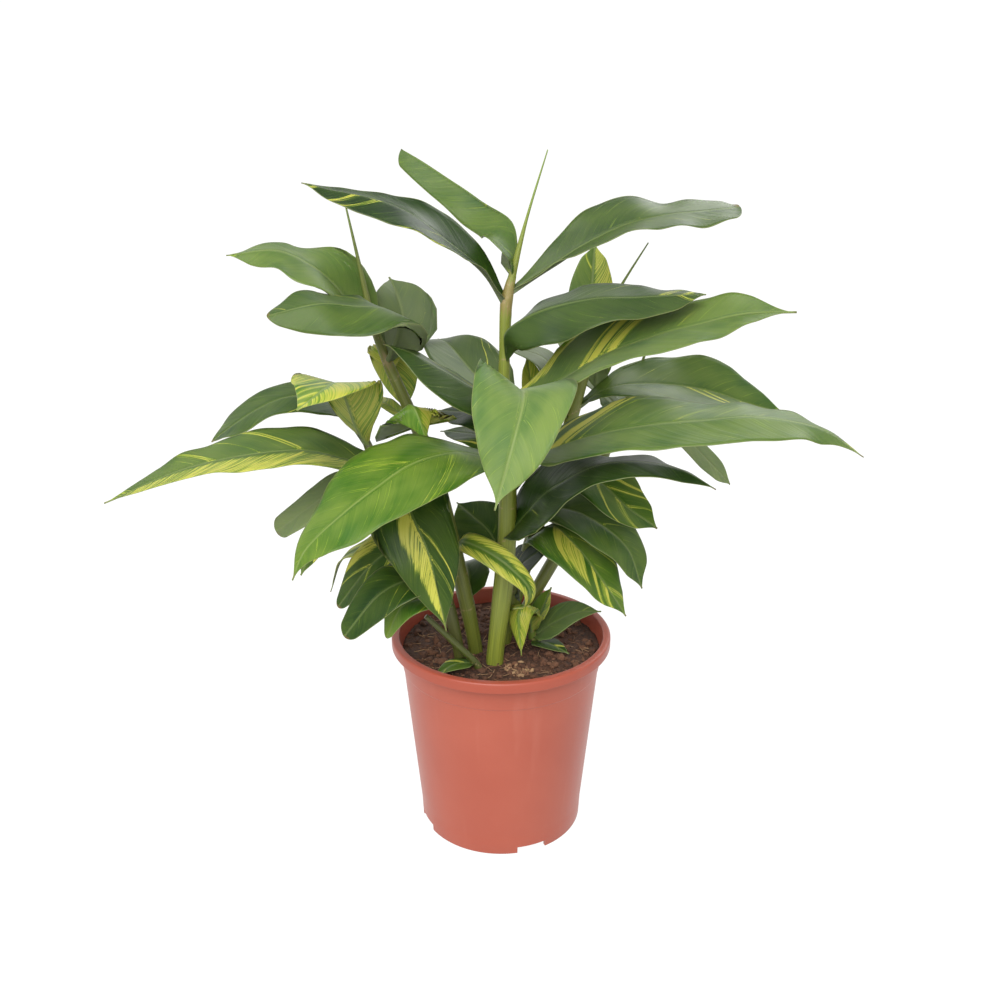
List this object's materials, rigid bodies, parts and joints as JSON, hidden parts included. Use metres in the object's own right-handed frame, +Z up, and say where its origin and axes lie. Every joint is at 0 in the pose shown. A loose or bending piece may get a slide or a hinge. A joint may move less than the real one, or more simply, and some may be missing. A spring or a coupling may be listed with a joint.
{
  "type": "potted variegated shell ginger",
  "caption": "Leafy clump of variegated shell ginger with yellow-striped lance leaves on leaning canes, in a round terracotta-coloured nursery pot.",
  "frame": {"origin": "middle of the pot's foot, on the surface it stands on", "axes": "+Z up along the pot's axis, -Y toward the front view, +X to that view's right"},
  "size_m": [0.6162, 0.3606, 0.6371],
  "materials": {
    "leaf": "satin, dark green with yellow stripes along the veins",
    "cane": "satin, light olive green, flushed pink-brown near the sheaths",
    "peat_soil": "rough, moist dark peat with fibres",
    "terracotta_plastic": "satin moulded plastic"
  },
  "bodies": {
    "root": {"pot": "terracotta_plastic", "soil": "peat_soil", "cane_a": "cane", "cane_b": "cane", "cane_c": "cane", "cane_d": "cane", "cane_e": "cane", "shoot_right": "cane", "shoot_left": "cane", "leaf_a_top_left": "leaf", "leaf_a_left": "leaf", "leaf_a_top_right": "leaf", "leaf_a_right": "leaf", "leaf_b_upright": "leaf", "leaf_a_striped_right": "leaf", "leaf_b_right": "leaf", "leaf_a_longest": "leaf", "leaf_a_arched": "leaf", "leaf_c_right": "leaf", "leaf_b_low_right": "leaf", "leaf_b_ridged": "leaf", "leaf_b_hanging": "leaf", "leaf_b_low": "leaf", "leaf_a_front": "leaf", "leaf_a_dark_left": "leaf", "leaf_a_behind_left": "leaf", "leaf_a_front_left": "leaf", "leaf_d_hanging": "leaf", "leaf_d_narrow": "leaf", "leaf_e_low_left": "leaf", "leaf_e_low_dark": "leaf", "leaf_e_thin": "leaf", "leaf_e_small": "leaf", "leaf_e_behind_front_left": "leaf", "leaf_e_grey": "leaf", "leaf_d_front": "leaf", "leaf_d_left": "leaf", "leaf_d_folded": "leaf", "leaf_d_upright": "leaf", "leaf_d_yellow": "leaf", "leaf_e_dark_left": "leaf", "leaf_e_folding": "leaf", "leaf_e_long": "leaf", "leaf_d_behind_low": "leaf", "leaf_a_behind_low": "leaf", "leaf_a_behind_middle": "leaf", "leaf_a_behind_high": "leaf", "leaf_c_back_up": "leaf", "leaf_b_arching_left": "leaf", "leaf_b_small_upright": "leaf", "leaf_b_green_hanging": "leaf", "leaf_c_far_right": "leaf", "leaf_a_far": "leaf", "leaf_d_far_left": "leaf", "leaf_c_far_low": "leaf", "leaf_d_far_low": "leaf", "leaf_d_small_left": "leaf"}
  },
  "joints": []
}
